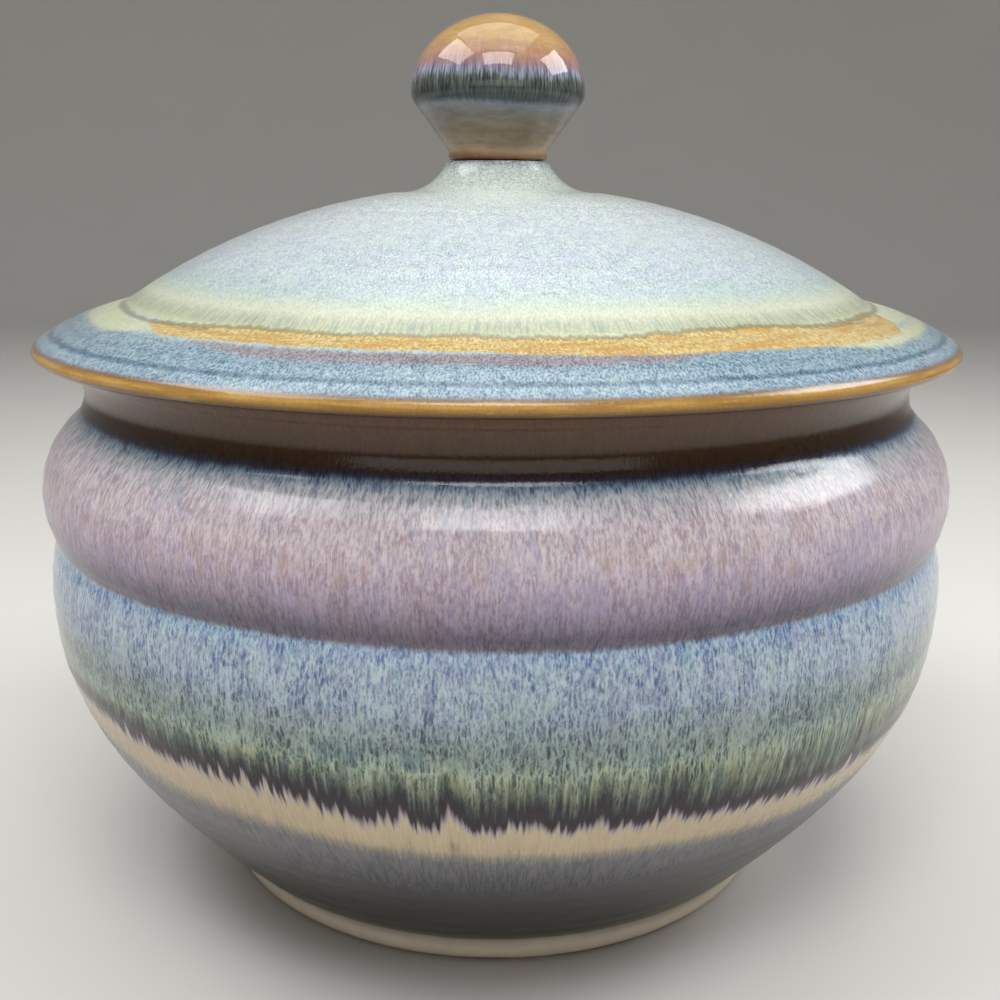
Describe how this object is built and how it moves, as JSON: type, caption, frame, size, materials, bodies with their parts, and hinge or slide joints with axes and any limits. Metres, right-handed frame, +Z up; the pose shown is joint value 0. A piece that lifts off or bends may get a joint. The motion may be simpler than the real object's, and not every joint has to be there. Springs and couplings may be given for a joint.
{
  "type": "covered casserole dish",
  "caption": "Round glazed stoneware casserole with a rolled shoulder and foot ring, and a loose domed lid that lifts off by its ball knob; holds and serves cooked food.",
  "frame": {"origin": "on the axis of the bowl, at the plane that the foot ring stands on", "axes": "+Z up along the axis that bowl, lid and knob are turned on; X and Y lie in the plane of the table, and the viewer looks along +Y"},
  "size_m": [0.24, 0.24, 0.2254],
  "materials": {
    "bowl_glaze": "glossy streaked lilac and blue glaze over stoneware, brown at the neck",
    "foot_glaze": "thin pale glaze over stoneware, bare clay underneath",
    "lid_glaze": "glossy mottled pale blue glaze, ochre at the foot of the dome and brown at the rim",
    "liner_glaze": "glossy dark brown glaze",
    "knob_glaze": "glossy caramel glaze that runs to slate blue and brown"
  },
  "bodies": {
    "pot": {"bowl": "bowl_glaze", "foot_ring": "foot_glaze"},
    "lid": {"lid": "lid_glaze", "locating_flange": "liner_glaze", "knob": "knob_glaze"}
  },
  "joints": [
    {"name": "lid_lift", "type": "slide", "parent": "pot", "child": "lid", "axis": [0, 0, 1], "range_m": [0, 0.12]}
  ]
}
